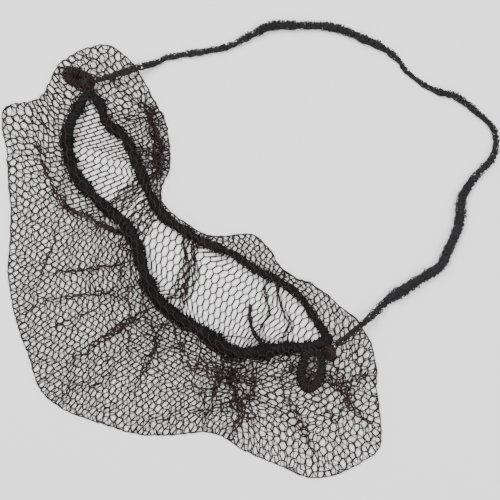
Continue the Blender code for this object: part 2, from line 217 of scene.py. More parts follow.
def fibre_group():
    group = bpy.data.node_groups.new("mottled_fibre", "ShaderNodeTree")
    colours, floats = ("Dark", "Light"), ("Patch Scale", "Fibre Scale")
    for way, names, kind in (
        ("INPUT", colours, "Color"), ("INPUT", floats, "Float"),
        ("OUTPUT", ("Colour",), "Color"), ("OUTPUT", ("Fibres", "Roughness"), "Float"),
    ):
        for name in names:
            group.interface.new_socket(name, in_out=way, socket_type="NodeSocket" + kind)
    kinds = ("TexCoord", "TexNoise", "TexNoise", "Math", "Mix", "MapRange")
    given, result = group.nodes.new("NodeGroupInput"), group.nodes.new("NodeGroupOutput")
    place, patches, fibres, both, tint, rough = (group.nodes.new("ShaderNode" + kind) for kind in kinds)
    both.operation = "MULTIPLY_ADD"
    both.inputs[1].default_value = 0.45
    tint.data_type = "RGBA"
    rough.inputs["To Min"].default_value = 0.45
    rough.inputs["To Max"].default_value = 0.85
    wire(group, (
        (place, "Object", patches, "Vector"),
        (place, "Object", fibres, "Vector"),
        (given, "Patch Scale", patches, "Scale"),
        (given, "Fibre Scale", fibres, "Scale"),
        (fibres, "Fac", both, 0),
        (patches, "Fac", both, 2),
        (both, "Value", tint, "Factor"),
        (given, "Dark", tint, "A"),
        (given, "Light", tint, "B"),
        (fibres, "Fac", rough, "Value"),
        (tint, "Result", result, "Colour"),
        (fibres, "Fac", result, "Fibres"),
        (rough, "Result", result, "Roughness"),
    ))
    return group


FIBRE = fibre_group()
print("mottled fibre:", len(FIBRE.nodes), "nodes and", len(FIBRE.links), "links")


# %% One material for each yarn
def yarn_material(name, dark, light, patch_scale, fibre_scale, gloss):
    material = bpy.data.materials.new(name)
    material.use_nodes = True
    nodes = material.node_tree.nodes
    surface = nodes["Principled BSDF"]
    surface.inputs["Specular IOR Level"].default_value = gloss
    fibre, bump = nodes.new("ShaderNodeGroup"), nodes.new("ShaderNodeBump")
    fibre.node_tree = FIBRE
    bump.inputs["Distance"].default_value = 0.1 * MM
    bump.inputs["Strength"].default_value = 0.5
    given = {"Dark": (*dark, 1), "Light": (*light, 1), "Patch Scale": patch_scale, "Fibre Scale": fibre_scale}
    for socket, value in given.items():
        fibre.inputs[socket].default_value = value
    wire(material.node_tree, (
        (fibre, "Colour", surface, "Base Color"),
        (fibre, "Roughness", surface, "Roughness"),
        (fibre, "Fibres", bump, "Height"),
        (bump, "Normal", surface, "Normal"),
    ))
    return material


loop_elastic = yarn_material("loop_elastic", (0.004, 0.004, 0.005), (0.018, 0.018, 0.020), 90, 2600, 0.2)
# Painted shade: the band's elastic is the loop's yarn in darker colours, for the net's shade over the band.
# The knots, tail loops and loose ends use the same darker colours.
elastic_painted_shade = yarn_material("elastic_painted_shade", (0.003, 0.003, 0.003), (0.014, 0.012, 0.013), 90, 2600, 0.1)
net_nylon = yarn_material("net_nylon", (0.012, 0.007, 0.007), (0.040, 0.024, 0.024), 60, 3000, 0.12)
print("yarn materials:", [material.name for material in (loop_elastic, elastic_painted_shade, net_nylon)])

# %% [markdown]
# ## How the elastic is knitted
# Close up, the elastic is a chain of small loops on each side of a rubber core. Drawn out, the loops
# are long open ovals. Let go, they bunch up into narrow ridges across the cord and stand out at its
# edges. A yarn that runs along the line and circles as it goes makes such loops: it moves back at the
# outside of each turn and forward at the inside. The turns come closer together where the cord is
# thick, as they do when the same yarn has less length to fill.

# %% The elastic's yarns
# radius is in millimetres. across and reach are where a yarn's loops lie and how far they swing, high
# how far they rise and fall, all as shares of the cord's thickness. lean is how far a loop leans along
# the cord, as a share of its length, and pitch that length as a share of the usual pitch. turn is 1 or
# -1 for the two ways of winding. Yarns that don't lean are the core, which fills the cord where it is thick.
Yarn = namedtuple("Yarn", "radius across reach high lean pitch turn phase")
LOOP_YARNS = (
    Yarn(0.25, 0.24, 0.24, 0.22, 0.45, 1.00, 1, 0.0),
    Yarn(0.25, -0.24, 0.24, 0.22, 0.45, 1.08, -1, 2.0),
    Yarn(0.27, 0.00, 0.42, 0.30, 0.60, 1.30, 1, 1.0),
    Yarn(0.27, 0.00, 0.40, 0.32, 0.60, 1.17, -1, 4.0),
    Yarn(0.72, 0.00, 0.20, 0.10, 0.00, 3.00, 1, 0.0),
    Yarn(0.72, 0.00, 0.20, 0.10, 0.00, 3.00, 1, 3.1),
)
THIN, USUAL, THICK = 2.6 * MM, 4.2 * MM, 5.2 * MM
LONG_PITCH, SHORT_PITCH = 3.1 * MM, 1.2 * MM
TURN_POINTS = 10
GROW_NOISE, TURN_NOISE, LEAN_NOISE, LEAN_SHARE = 0.18, 0.10, 0.6, 0.25  # how uneven the loops are
LEAST_CORE, MOST_CORE = 0.5, 1.7  # how far the core thins and swells with the cord
print("yarns in the head loop:", len(LOOP_YARNS))


# %% Yarns that follow a line
def uneven(chance, places, amount):
    """Random numbers around 0 that change slowly from turn to turn."""
    values = chance.normal(0, amount, int(places[-1]) + 3)
    return np.interp(places, np.arange(len(values)), values)


def elastic_strands(line, closed, seed, yarns=LOOP_YARNS):
    """The yarns of an elastic cord along a line whose fourth column is its thickness."""
    chance = np.random.default_rng(seed)
    centre, thick = line[:, :3], line[:, 3]
    ahead = np.roll(centre, -1, 0) - np.roll(centre, 1, 0) if closed else np.gradient(centre, axis=0)
    ahead /= sizes(ahead)[:, None]
    side = np.column_stack((-ahead[:, 1], ahead[:, 0], np.zeros(len(ahead))))
    side /= sizes(side)[:, None]
    up = np.cross(ahead, side)
    step = length_of(line) / (len(line) - 1)
    pitch = np.interp(thick, (THIN, THICK), (LONG_PITCH, SHORT_PITCH))
    strands = []
    for yarn in yarns:
        turns = summed(step / (pitch[:-1] * yarn.pitch))
        if closed:
            turns *= max(1, round(turns[-1])) / turns[-1]
        places = np.linspace(0, turns[-1], max(4, round(turns[-1] * TURN_POINTS)) + 1)
        places = places[:-1] if closed else places
        at = np.interp(places, turns, np.arange(len(line)))

        def along(values):
            return between(values.reshape(len(values), -1), np.arange(len(line)), at)

        grow = 1 + uneven(chance, places, GROW_NOISE)
        angle = yarn.turn * 2 * math.pi * (places + uneven(chance, places, TURN_NOISE)) + yarn.phase
        width = along(thick)[:, 0]
        wide = width * (yarn.across + yarn.reach * np.cos(angle)) * grow
        rise = width * yarn.high * np.sin(angle)
        lean = -yarn.turn * yarn.lean * yarn.pitch * np.sin(angle) * along(pitch)[:, 0]
        lean += LEAN_SHARE * yarn.pitch * along(pitch)[:, 0] * uneven(chance, places, LEAN_NOISE)
        points = along(centre) + along(side) * wide[:, None] + along(up) * rise[:, None]
        points += along(ahead) * lean[:, None]
        swell = np.clip((width / USUAL) ** 1.5, LEAST_CORE, MOST_CORE) if yarn.lean == 0 else 1
        radius = yarn.radius * MM * swell * np.ones(len(width))
        points[:, 2] = np.maximum(points[:, 2], radius * 1.05)
        strands.append((points, radius, closed))
    return strands


# %% The head loop in yarn
# Its coils have bunched up unevenly. How far along, in millimetres, and how many times thicker than the
# solid it then is were measured in the photograph, and a finer unevenness is random.
BUNCHED = (
    (0, 1.0), (70, 1.1), (86, 1.05), (94, 0.93), (106, 1.0), (118, 0.93), (130, 0.97), (142, 1.2),
    (154, 1.08), (190, 1.05), (226, 0.98), (238, 0.94), (250, 0.86), (262, 1.15), (298, 1.12),
    (322, 1.08), (334, 1.2), (346, 1.2), (356, 1.45), (370, 1.15), (407, 1.0),
)
UNEVEN_OVER, UNEVEN_BY = 4.5 * MM, 0.07
loop_along = np.linspace(0, LOOP_LENGTH, len(loop_line))
bunched_at, bunched = np.array(BUNCHED).T
loop_line[:, 3] *= np.interp(loop_along, bunched_at * MM, bunched)
loop_line[:, 3] *= 1 + uneven(np.random.default_rng(14), loop_along / UNEVEN_OVER, UNEVEN_BY)
loop_strands = elastic_strands(loop_line, False, 11)
head_cord = strands_piece("head_loop_elastic", loop_strands, 6, loop_elastic, "elastic_cord", "head_loop")

# %% [markdown]
# ## The plan of the bag
# The bag's plan is a set of sections round the mouth, the same as the part's. Each gives the middle of
# the band, as shares of the mouth's length and bow, a heading and a reach to the outline, and the
# thickness of the band. Smoothed and set an even distance apart, they become rays that run from the
# band to the outline.

# %% The sections
MOUTH_LENGTH, MOUTH_BOW, NET_REACH, BAND_THICKNESS = 193.4 * MM, 51 * MM, 104 * MM, 5.2 * MM
MOUTH_HEADING = -47.3
CHIN_ROWS = (
    (-0.486, 0.03, 89, 0.262, 0.78), (-0.490, 0.10, 128, 0.198, 0.82), (-0.479, 0.21, 167, 0.215, 0.90),
    (-0.468, 0.35, 173, 0.368, 0.96), (-0.433, 0.55, 198, 0.358, 1.00), (-0.359, 0.72, 225, 0.488, 1.00),
    (-0.306, 0.75, 233, 0.663, 0.96), (-0.250, 0.75, 236, 0.777, 0.92), (-0.189, 0.73, 241, 0.902, 0.90),
    (-0.138, 0.70, 246, 0.998, 0.90), (-0.078, 0.76, 257, 0.966, 0.94), (-0.011, 0.90, 271, 0.888, 1.00),
    (0.068, 1.00, 285, 0.771, 1.00), (0.152, 0.98, 289, 0.678, 0.98), (0.233, 0.89, 291, 0.687, 0.96),
    (0.330, 0.81, 293, 0.675, 0.94), (0.384, 0.62, 292, 0.746, 0.90), (0.425, 0.38, 297, 0.761, 0.86),
    (0.471, 0.17, 304, 0.699, 0.82),
)
LIP_ROWS = (
    (0.498, -0.04, 307, 0.531, 0.76), (0.474, -0.09, 321, 0.383, 0.72), (0.437, -0.11, 344, 0.287, 0.70),
    (0.363, -0.16, 351, 0.180, 0.70), (0.290, -0.12, 363, 0.103, 0.68), (0.211, -0.01, 383, 0.135, 0.66),
    (0.132, 0.07, 402, 0.153, 0.66), (0.056, 0.20, 389, 0.105, 0.66), (-0.018, 0.29, 412, 0.080, 0.70),
    (-0.094, 0.34, 394, 0.076, 0.74), (-0.167, 0.28, 372, 0.105, 0.76), (-0.251, 0.16, 372, 0.201, 0.76),
    (-0.325, 0.07, 390, 0.248, 0.76), (-0.392, 0.11, 397, 0.304, 0.78), (-0.432, 0.04, 408, 0.289, 0.78),
    (-0.463, 0.01, 429, 0.283, 0.78),
)
print("sections:", len(CHIN_ROWS), "on the chin side and", len(LIP_ROWS), "on the lip side")

# %% Rays from the band to the outline
RAYS = 240


def compass(degrees):
    """The way in the plan that a heading points."""
    return np.array((math.cos(math.radians(degrees)), math.sin(math.radians(degrees))))


MOUTH_AXIS = compass(MOUTH_HEADING)
CHIN_AXIS = np.array((MOUTH_AXIS[1], -MOUTH_AXIS[0]))


def section_rows():
    rows = np.array(CHIN_ROWS + LIP_ROWS)
    rim = np.outer(rows[:, 0] * MOUTH_LENGTH, MOUTH_AXIS) + np.outer(rows[:, 1] * MOUTH_BOW, CHIN_AXIS)
    heading = np.radians(rows[:, 2])
    out = np.column_stack((np.cos(heading), np.sin(heading)))
    edge = rim + out * (rows[:, 3] * NET_REACH)[:, None]
    return np.column_stack((rim, edge, rows[:, 4] * BAND_THICKNESS / 2))


def even_rays(rows, first, last, count, steps=24):
    """Rays from one row to another, an even distance apart along the band and the outline together."""
    fine = smooth(rows, steps, closed=True)[first * steps : last * steps + 1]
    change = np.diff(fine, axis=0)
    along = summed(sizes(change[:, :2]) + sizes(change[:, 2:4]))
    return between(fine, along, np.linspace(0, along[-1], count + 1)[:-1])


sections = section_rows()
stops = (0, len(CHIN_ROWS), len(sections))
rays = np.concatenate([even_rays(sections, *side, RAYS // 2) for side in zip(stops, stops[1:])])
net_middle = (rays[:, 2:4].max(0) + rays[:, 2:4].min(0)) / 2
RIM, EDGE, BAND = rays[:, :2] - net_middle, rays[:, 2:4] - net_middle, rays[:, 4]
# Dressed in bunched loops and gathered net, the band looks thicker than the solid. How many times thicker
# was measured in the photograph along the rays, which start at the left knot and pass the chin side first.
BAND_GROWTH = (
    (0, 1.2), (8, 1.34), (64, 1.38), (72, 1.55), (80, 1.45), (88, 1.7), (104, 1.8), (112, 1.65),
    (120, 1.5), (128, 1.45), (136, 1.1), (152, 1.1), (160, 1.3), (176, 1.4), (184, 1.5), (216, 1.5),
    (232, 1.45), (240, 1.2),
)
BAND = BAND * np.interp(np.arange(RAYS), *np.array(BAND_GROWTH).T)
print("net, mm:", np.round(np.ptp(EDGE, axis=0) / MM, 1))

# %% [markdown]
# ## The outline, closer
# The solid part has a smooth outline with few sections. The photograph's wavers more, so every fourth ray
# is made longer or shorter by what was measured there, in millimetres.

# %% Trim the outline
TRIMS = (-0.3, 3.5, 1.4, 2.1, 0.4, -1.5, -1.2, -1.8, -0.1, 1.9, 0.3, 0.8, 0.4, 3.1, 3.3)
TRIMS += (3.0, 1.6, 1.0, 0.1, -0.0, -0.9, -0.1, 1.9, 1.1, -0.2, -3.2, -1.1, -1.0, -2.3, -0.9)
TRIMS += (-4.9, -5.0, -0.1, 0.2, 0.1, 2.8, 1.6, 4.4, 4.5, -1.9, -2.5, 0.1, 0.6, 0.1, -1.5)
TRIMS += (-4.6, -5.0, -3.0, -5.0, -4.5, -3.2, -0.5, -1.7, -1.5, -0.4, -2.4, -1.6, -1.2, 0.5, 1.2)
room = sizes(EDGE - RIM)
trimmed = room + np.interp(np.arange(RAYS), np.arange(0, RAYS + 1, 4), TRIMS + TRIMS[:1]) * MM
LEAST_REACH = 1.8 * MM  # how far beyond the band the outline lies at least
EDGE = RIM + (EDGE - RIM) * (np.maximum(trimmed, BAND + LEAST_REACH) / room)[:, None]
print("net, trimmed, mm:", np.round(np.ptp(EDGE, axis=0) / MM, 1))

# %% [markdown]
# ## The band round the mouth
# The mouth's edge is gathered on the same kind of elastic, which has drawn together and is thick with
# bunched loops. It is one closed cord through the middle of the part's own band.

# %% The band's elastic
BAND_YARNS = (
    Yarn(0.28, 0.26, 0.22, 0.22, 0.45, 1.20, 1, 0.0),
    Yarn(0.28, -0.26, 0.22, 0.22, 0.45, 1.30, -1, 2.0),
    Yarn(0.28, 0.00, 0.44, 0.34, 0.50, 1.20, 1, 1.0),
    Yarn(0.28, 0.00, 0.42, 0.36, 0.50, 1.10, -1, 4.0),
    Yarn(1.05, 0.00, 0.20, 0.12, 0.00, 4.00, 1, 0.0),
    Yarn(1.05, 0.00, 0.20, 0.12, 0.00, 4.00, 1, 2.1),
    Yarn(1.05, 0.00, 0.20, 0.12, 0.00, 4.00, 1, 4.2),
)
BAND_Z = 3.9 * MM
BULGE, LEAST_BULGE, MOST_BULGE = 0.13, 0.8, 1.3
waves = [np.sin(turns * 2 * np.pi * np.arange(RAYS) / RAYS + turns) for turns in (17, 26, 41)]
bulges = np.clip(1 + BULGE * np.sum(waves, axis=0), LEAST_BULGE, MOST_BULGE)
rim_line = np.column_stack((RIM, np.full(RAYS, BAND_Z), BAND * 2 * bulges))
rim_line = even(np.concatenate((rim_line, rim_line[:1])), 0.5 * MM)[:-1]
band_strands = elastic_strands(rim_line, True, 23, BAND_YARNS)
strands_piece("rim_band_elastic", band_strands, 4, elastic_painted_shade, "elastic_cord", "rim_elastic")

# %% [markdown]
# ## The net as two panels
# The net is knitted as a tube of six-sided holes, and lies flat as two panels, one on the table and one
# on top, that meet at the outline. The top one has the mouth in it. Folds look right when they are made
# of a real sheet, so each panel is first drawn flat, with its holes at their real size, and then every
# knot of it is carried to its place. A grid with every second cross edge left out is a brick pattern,
# and a brick pattern whose corners are pulled up and down by turns is a net of hexagons. The top panel's
# rows lean the other way, as the back of a tube does.

# %% A flat panel of hexagons
MESH_PERIOD = 4.03 * MM  # along a row of knots
ROW_STEP = 5.1 * MM  # from a row to the next
THREAD = 2.95 * MM  # from knot to knot
ZIGZAG = math.sqrt(THREAD**2 - (MESH_PERIOD / 2) ** 2)
LOWER_TURN, UPPER_TURN = math.radians(-31), math.radians(29)
ROWS, COLUMNS = 101, 241


def flat_panel(turned):
    """Knots of a flat panel in the plan, by row and column."""
    row, column = np.divmod(np.arange(ROWS * COLUMNS), COLUMNS)
    x = (column - COLUMNS // 2) * MESH_PERIOD / 2
    y = (row - ROWS // 2) * ROW_STEP + np.where((row + column) % 2 == 0, 0.5, -0.5) * ZIGZAG
    cos, sin = math.cos(turned), math.sin(turned)
    return np.column_stack((x * cos - y * sin, x * sin + y * cos))


# %% [markdown]
# ## Cloth that has slid together
# In the upper half of the mouth the holes are squashed to half their length and drawn out sideways, as
# cloth is that has slid together. In other places, such as a dark patch below the mouth and the lobe at
# its right, it has slid together in both directions. The flat panel is larger there than the bag is.

# %% Where the cloth has slid together
# Between a low and a high y, in millimetres, the lower panel is so many times longer than the bag in y.
SQUASHES = ((30, 54, 0.50), (54, 72, 1.00), (72, 93, 0.70))
SQUASH_LEFT, SQUASH_FADE, SQUASH_LEAST = -104 * MM, 40 * MM, 0.06  # they fade towards the left edge
# Where the holes are squashed, they are drawn out sideways round a line of x, from DRAWN_LOW up.
DRAWN_OUT, DRAWN_LOW, DRAWN_FADE, DRAWN_X, DRAWN_WIDE = 0.20, 34 * MM, 16 * MM, -50 * MM, 26 * MM
FULLNESS = 0.03  # how much larger the upper panel is than its place, for the creases to take up
SOFT = 5 * MM
# Spots with spare cloth, as x, y and size in millimetres, and how many times longer, each way, the
# panel is than the bag in the middle of it. Creases and crumpling take it up.
BOTH_SPARES = (
    (22.0, -60.0, 13, 0.90), (24.0, -79.0, 12, 0.75), (-22.0, 80.0, 9, 0.60), (-20.0, 57.0, 9, 0.70),
)
UPPER_SPARES = (
    (-42.0, 13.0, 9, 0.45), (-41.0, -6.0, 10, 0.50), (-34.0, -23.0, 10, 0.50), (-20.0, -37.0, 10, 0.75),
    (-5.0, -48.0, 9, 0.60), (11.0, -58.0, 9, 0.40), (56.0, -57.0, 10, 0.60), (80.0, -55.0, 11, 0.60),
    (93.0, -66.0, 11, 0.40), (-52.0, 107.0, 11, 0.45), (-24.0, 60.0, 9, 0.80), (-24.0, 85.0, 8, 0.80),
    (-70.0, 42.0, 11, 0.30), (-43.0, -38.0, 10, 0.45), (-24.0, -53.0, 8, 0.35), (-58.0, -10.0, 9, 0.25),
    (60.0, -88.0, 8, 0.30), (88.0, -73.0, 11, 0.45), (80.0, -83.0, 10, 0.60), (52.0, -83.0, 9, 0.40),
)
print("spots with spare cloth:", len(BOTH_SPARES), "in both panels,", len(UPPER_SPARES), "in the upper one")


# %% From the bag to the flat panel and back
def ease(x):
    x = np.clip(x, 0, 1)
    return x * x * (3 - 2 * x)


def step_up(x):
    """A smooth step from 0 to 1."""
    return 0.5 + 0.5 * np.tanh(x)


def ramp(x):
    """0 below 0 and x above, rounded between."""
    return SOFT * np.logaddexp(0, x / SOFT)


def slid(plan, on_top):
    """How much farther on in the flat panel each place of the plan is."""
    x, y = plan.T
    if on_top:
        further = FULLNESS * plan
    else:
        up = sum(more * (ramp(y - low * MM) - ramp(y - high * MM)) for low, high, more in SQUASHES)
        up = up * (SQUASH_LEAST + (1 - SQUASH_LEAST) * ease((x - SQUASH_LEFT) / SQUASH_FADE))
        share = DRAWN_OUT * ease((y - DRAWN_LOW) / DRAWN_FADE)
        wide = -share * DRAWN_WIDE * np.tanh((x - DRAWN_X) / DRAWN_WIDE)
        further = np.column_stack((wide, up))
    for spot_x, spot_y, size, more in BOTH_SPARES + (UPPER_SPARES if on_top else ()):
        away = plan - np.array((spot_x, spot_y)) * MM
        size = (size * MM) ** 2
        further = further + away * (more * size / ((away**2).sum(1) + size))[:, None]
    return further


def unslid(flat, on_top):
    """The place in the plan of each flat point, found by small steps towards it."""
    plan = flat.copy()
    for _ in range(60):
        plan += 0.3 * (flat - slid(plan, on_top) - plan)
    return plan


# %% [markdown]
# ## Folds across the mouth
# Folds of the lower panel cross the mouth in four places, one of them double. A fold is an S in the
# cloth: forward, back over itself, and forward again, three layers deep.

# %% The cross folds
# A fold lies along points of the plan, from the lip side to the chin side. taken is the cloth that it
# takes up and width its half width. They are in order from the right, where the panel stays in place.
CrossFold = namedtuple("CrossFold", "line taken width")
CROSS_FOLDS = (
    CrossFold(((45.0, -8.0), (48.5, -20.7), (56.0, -35.0)), 13 * MM, 1.8 * MM),
    CrossFold(((37.5, -13.0), (40.0, -22.0), (43.5, -31.0)), 9 * MM, 1.5 * MM),
    CrossFold(((-3.0, 12.0), (2.0, 0.6), (-4.0, -16.8)), 16 * MM, 2.0 * MM),
    CrossFold(((-6.5, 13.5), (-2.5, 0.6), (-8.0, -14.8)), 16 * MM, 2.0 * MM),
    CrossFold(((-23.8, 32.5), (-28.0, 26.5), (-33.3, 18.5)), 27 * MM, 2.6 * MM),
    CrossFold(((-33.3, 42.0), (-37.0, 37.5), (-41.7, 31.9)), 21 * MM, 2.0 * MM),
)
FADE_OUT, FADE_WIDE = 12 * MM, 2.2  # beyond its ends a fold fades, and the cloth is taken up over more width


def fold_cloth(flat):
    """How much cloth the cross folds have taken up beyond each flat point, and how high they lift it."""
    along, across = flat @ MOUTH_AXIS, flat @ CHIN_AXIS
    shift, lift, before = np.zeros(len(flat)), np.zeros(len(flat)), 0
    for fold in CROSS_FOLDS:
        line = np.array(fold.line) * MM
        line = line + slid(line, False)
        line_across, line_along = line @ CHIN_AXIS, line @ MOUTH_AXIS
        bend = np.interp(across, line_across, line_along) - before - fold.taken / 2
        away = along - bend
        out = np.maximum(line_across.min() - across, across - line_across.max())
        inside = 1 - ease(out / FADE_OUT)
        narrow, wide = step_up(away / fold.width), step_up(away / (FADE_WIDE * fold.taken))
        shift -= fold.taken * (1 - inside * narrow - (1 - inside) * wide)
        lift += inside * np.exp(-((away / fold.width - 0.4) ** 2) / 1.6)
        before += fold.taken
    return shift, lift


print("the cross folds take up, mm:", [round(fold.taken / MM) for fold in CROSS_FOLDS])

# %% [markdown]
# ## Lines to measure from
# The upper panel is placed by its distance from the band, and both panels by their distance from the
# outline. The nearest of many points on each line gives both the distance and the place along it.

# %% Distances from the band and the outline
rows_ahead = np.roll(RIM, -1, 0) - np.roll(RIM, 1, 0)
RIM_OUT = np.column_stack((rows_ahead[:, 1], -rows_ahead[:, 0])) / sizes(rows_ahead)[:, None]
HOLD = RIM + RIM_OUT * (BAND + 0.5 * MM)[:, None]
WIDTH = sizes(EDGE - HOLD)
EDGE_OUT = (EDGE - HOLD) / WIDTH[:, None]
PER_RAY = 8


def at_ray(values, ray):
    """Values that each ray has, read between the rays."""
    first = np.floor(ray).astype(int)
    t = ray - first
    t = t[:, None] if values.ndim > 1 else t
    return values[first % RAYS] * (1 - t) + values[(first + 1) % RAYS] * t


def nearest(points, line):
    """The place on a closed line of rays nearest to each point, and the distance to it."""
    places = np.arange(RAYS * PER_RAY) / PER_RAY
    spots = at_ray(line, places)
    tree = kdtree.KDTree(len(spots))
    for k, spot in enumerate(spots):
        tree.insert((*spot, 0), k)
    tree.balance()
    found = [tree.find((*point, 0)) for point in points]
    return places[[index for _, index, _ in found]], np.array([distance for _, _, distance in found])


def inside_line(points, line):
    """Whether points lie inside a closed line, by counting the edges that a way to +x meets."""
    x, y = points.T
    odd = np.zeros(len(points), bool)
    for (x0, y0), (x1, y1) in zip(line, np.roll(line, -1, 0)):
        meets = (y0 > y) != (y1 > y)
        odd ^= meets & (x < x0 + (y - y0) * (x1 - x0) / (y1 - y0 + 1e-15))
    return odd


# %% [markdown]
# ## Creases
# The photograph has dark lines and spots where the cloth has drawn together. Each crease draws the
# cloth near it towards its line, and past it where the crease is sharp, so that the cloth doubles back.
# The larger ones are placed from the photograph. Small ones stand all along the band, where the cloth
# is gathered, and some of any direction lie in between.

# %% The creases in the photograph
# x and y are the middle, long and wide the sizes along a heading and across it, in millimetres. draw
# is how much of the way to the line the cloth is drawn, and rise how high it stands.
Crease = namedtuple("Crease", "x y long wide heading draw rise")
SEEN_ROWS = (
    (-43.0, -37.5, 14, 2.8, 34, 2.0, 3.0), (-24.4, -52.6, 12, 2.6, 68, 1.8, 2.5),
    (-58.0, -2.8, 16, 2.4, 9, 1.5, 2.0), (-58.0, -17.4, 16, 2.4, 11, 1.5, 2.0),
    (-60.0, -28.0, 13, 2.2, 24, 1.0, 1.5), (-83.2, 54.9, 9, 5.0, -65, 0.8, 1.5),
    (-55.2, 23.0, 12, 5.0, -27, 0.9, 2.0), (-72.5, 40.9, 10, 1.6, 85, 1.7, 1.5),
    (-81.5, 3.9, 16, 1.6, 72, 1.7, 1.5), (-63.6, 47.6, 12, 3.5, -54, 0.8, 2.0),
    (-73.6, 35.3, 9, 3.5, -52, 1.1, 1.5), (-44.0, 18.5, 9, 3.0, -12, 1.3, 2.0),
    (-58.0, 27.0, 10, 2.0, -35, 1.3, 1.5), (12.0, -72.0, 18, 2.2, 76, 1.2, 2.0),
    (21.0, -66.0, 16, 2.0, 98, 1.1, 2.0), (27.0, -82.0, 12, 2.6, 70, 1.0, 2.0),
    (16.0, -90.0, 9, 2.2, 20, 0.9, 2.0), (34.0, -70.0, 13, 2.5, 93, 1.2, 2.5),
    (5.3, -76.7, 11, 2.5, 85, 1.0, 2.0), (59.6, -87.9, 15, 2.4, -63, 1.8, 2.0),
    (47.0, -78.0, 12, 2.2, -62, 1.0, 1.5), (86.0, -76.0, 17, 3.2, -50, 1.7, 2.5),
    (84.0, -66.0, 8, 7.0, 0, 0.45, 1.0), (-21.6, 76.2, 9, 5.0, -68, 0.8, 2.5),
    (-20.0, 54.9, 12, 5.0, -80, 0.6, 2.0), (-6.4, -52.6, 8, 5.0, 60, 0.6, 2.0),
    (-15.0, -46.0, 8, 3.0, 55, 1.0, 2.0), (-17.0, -32.5, 8, 2.6, 52, 1.4, 2.0),
    (-6.0, -44.0, 7, 2.6, 66, 1.3, 2.0), (2.0, -56.0, 9, 3.0, 78, 1.0, 2.0),
    (46.8, -24.6, 9, 6.5, -60, 0.55, 1.0), (37.2, -30.8, 9, 2.5, -80, 1.1, 1.0),
)
SEEN_CREASES = [Crease(*row) for row in SEEN_ROWS]
print("creases placed by hand:", len(SEEN_CREASES))

# %% Small creases by chance
GATHERS, RUNS, LOOSE_CREASES = 100, 66, 44


def band_crease(chance, place, size, turn, wide, draw, rise):
    """A crease that runs out from the band. size says how long it is and how far out its middle lies."""
    ray = np.array([place])
    out = at_ray(EDGE - HOLD, ray)[0]
    room = np.linalg.norm(out)
    long, away = size(room)
    spot = at_ray(HOLD, ray)[0] + out / room * away
    heading = math.degrees(math.atan2(out[1], out[0])) + chance.uniform(-turn, turn)
    return Crease(*(spot / MM), long / MM, chance.uniform(*wide), heading, chance.uniform(*draw), rise)


def small_creases():
    chance = np.random.default_rng(5)

    def gather(room):
        long = min(chance.uniform(3, 8) * MM, 0.3 * room)
        return long, long

    def run(room):
        long = room * chance.uniform(0.18, 0.34)
        return long, min(long * 1.5, 0.6 * room)

    creases = []
    for k in range(GATHERS):
        place = (k + chance.uniform(0, 0.8)) * RAYS / GATHERS
        creases.append(band_crease(chance, place, gather, 12, (0.9, 1.5), (0.8, 1.6), 0.6))
    for k in range(RUNS):
        place = (k + chance.uniform(0, 0.9)) * RAYS / RUNS
        creases.append(band_crease(chance, place, run, 9, (1.1, 1.9), (1.3, 2.1), 1.0))
    for _ in range(LOOSE_CREASES):
        ray = chance.uniform(0, RAYS, 1)
        share = chance.uniform(0.3, 0.9)
        spot = (at_ray(HOLD, ray) * (1 - share) + at_ray(EDGE, ray) * share)[0]
        size = chance.uniform(4, 10), chance.uniform(1.4, 2.4)
        creases.append(Crease(*(spot / MM), *size, chance.uniform(0, 180), chance.uniform(0.4, 0.9), 0.8))
    return creases


SMALL_CREASES = small_creases()
print("small creases:", len(SMALL_CREASES))


# %% What creases and swells do to the cloth
def creased(points, creases):
    """How far creases draw places of the plan, and how high they lift them."""
    drawn, lift = np.zeros(points.shape), np.zeros(len(points))
    for crease in creases:
        away = points - np.array((crease.x, crease.y)) * MM
        ahead = compass(crease.heading)
        side = np.array((-ahead[1], ahead[0]))
        long, wide = away @ ahead, away @ side
        share = np.exp(-0.5 * ((long / (crease.long * MM)) ** 2 + (wide / (crease.wide * MM)) ** 2))
        drawn -= np.outer(crease.draw * share * wide, side)
        lift += crease.rise * MM * share
    return drawn, lift


def rolling(points, size, seed):
    """A gentle random swell over the plan, about from -1 to 1, with hills of a given size."""
    chance = np.random.default_rng(seed)
    total = np.zeros(len(points))
    for _ in range(14):
        heading, phase = chance.uniform(0, 2 * math.pi, 2)
        wave = 2 * math.pi / (size * chance.uniform(0.7, 1.6))
        total += np.sin(wave * (points @ (math.cos(heading), math.sin(heading))) + phase)
    return total / 7


DRIFT = 1.4 * MM


def drift(points, seed):
    """A random shift in the plan."""
    return DRIFT * np.column_stack([rolling(points, 12 * MM, seed + k) for k in (0, 1)])


# %% [markdown]
# ## Laying the lower panel
# The lower panel lies on the table, inside the outline. Its creases show less, because they are pressed
# flat, and in the mouth it has only the cross folds and two creases.

# %% Lay the lower panel
STRAND = 0.355 * MM  # the thread's radius
EDGE_CALM = 6 * MM  # nearer to the outline than this, the creases fade
FOLD_RISE = 2.2 * MM  # how high a cross fold lifts the cloth
LONG_CREASE = 8  # the lower panel has only the creases that are longer, in millimetres
PRESSED = 0.15  # the share that is left of the creases' height, and in the mouth of the drift
MOUTH_FROM, MOUTH_OVER = 4 * MM, 12 * MM  # from how far inside the mouth's edge, and over what, drift sets in
RUMPLED_FROM, RUMPLE = 0.35, 0.7 * MM  # from what share of a fold's lift the cloth is rumpled, and how much
LOW_SWELL = 0.15 * MM  # half of how high the panel swells from the table
LOWER_CREASES = [crease for crease in SEEN_CREASES if crease.long > LONG_CREASE]
flat_lower = flat_panel(LOWER_TURN)
shift, lift = fold_cloth(flat_lower)
plan = unslid(flat_lower - np.outer(shift, MOUTH_AXIS), False)
kept_lower = np.flatnonzero(inside_line(plan, EDGE))
plan, lift = plan[kept_lower], lift[kept_lower]
calm = ease(nearest(plan, EDGE)[1] / EDGE_CALM)
from_rim = nearest(plan, RIM)[1] * np.where(inside_line(plan, RIM), -1, 1)
